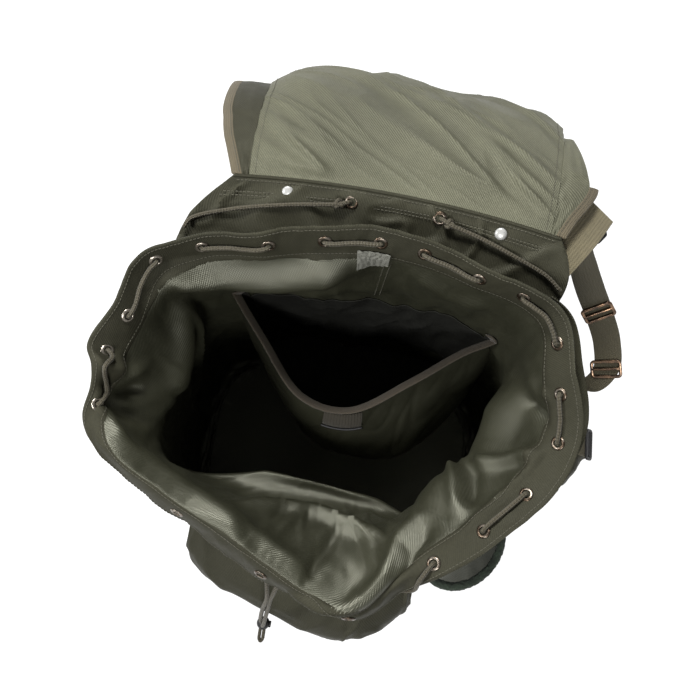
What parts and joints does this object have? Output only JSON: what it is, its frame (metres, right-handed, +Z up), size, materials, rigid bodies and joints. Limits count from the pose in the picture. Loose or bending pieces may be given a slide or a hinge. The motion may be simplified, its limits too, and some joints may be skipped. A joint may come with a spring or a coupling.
{
  "type": "military rucksack",
  "caption": "Olive field rucksack standing open on its base, with a laced collar, flipped-back lid, inner and outer pockets and shoulder straps.",
  "frame": {"origin": "on the floor under the middle of the bag, at the middle of its flat base", "axes": "+Z up, -Y towards the front pocket, +Y towards the wearer's back and the lid, +X to the right seen from in front"},
  "size_m": [0.5121, 0.6173, 0.4606],
  "materials": {
    "cloth": "coated olive twill with a soft sheen",
    "lining": "matt black coated cloth",
    "webbing": "woven olive tan webbing",
    "tape": "tan binding tape",
    "cord": "braided olive cord",
    "dark_metal": "dark bronzed",
    "black_plastic": "satin black",
    "stud": "pale enamel",
    "grey_flap": "smooth grey coated cloth",
    "pile": "dark green pile",
    "tag": "pale woven tag, bare"
  },
  "bodies": {
    "root": {"bag_shell": "cloth", "back_yoke": "cloth", "lid_panel": "cloth", "lid_wing_left": "cloth", "lid_wing_right": "cloth", "inner_pocket": "cloth", "front_pocket": "cloth", "front_pocket_flap": "cloth", "side_pocket": "cloth", "side_pocket_flap": "cloth", "round_pouch": "cloth", "shoulder_strap_left": "cloth", "shoulder_strap_right": "cloth", "inner_pocket_lining": "lining", "inner_pocket_tab": "webbing", "side_strap_top": "webbing", "side_strap_long": "webbing", "side_loop": "webbing", "left_ring_tab": "webbing", "lid_binding_left": "tape", "lid_binding_right": "tape", "inner_pocket_binding": "tape", "drawstring": "cord", "tie_cord_left": "cord", "tie_cord_right": "cord", "rim_eyelet_01": "dark_metal", "rim_eyelet_02": "dark_metal", "rim_eyelet_03": "dark_metal", "rim_eyelet_04": "dark_metal", "rim_eyelet_05": "dark_metal", "rim_eyelet_06": "dark_metal", "rim_eyelet_07": "dark_metal", "rim_eyelet_08": "dark_metal", "rim_eyelet_09": "dark_metal", "rim_eyelet_10": "dark_metal", "rim_eyelet_11": "dark_metal", "rim_eyelet_12": "dark_metal", "rim_eyelet_13": "dark_metal", "rim_eyelet_14": "dark_metal", "rim_eyelet_15": "dark_metal", "rim_eyelet_16": "dark_metal", "rim_eyelet_17": "dark_metal", "rim_eyelet_18": "dark_metal", "rim_eyelet_19": "dark_metal", "rim_eyelet_20": "dark_metal", "band_eyelet_left": "dark_metal", "band_eyelet_right": "dark_metal", "side_strap_slide": "dark_metal", "side_strap_ring": "dark_metal", "left_ring": "dark_metal", "cord_lock": "black_plastic", "side_strap_lock": "black_plastic", "side_triglide": "black_plastic", "snap_stud_left": "stud", "snap_stud_right": "stud", "round_pouch_flap": "grey_flap", "round_pouch_edge": "pile", "care_tag": "tag"}
  },
  "joints": []
}
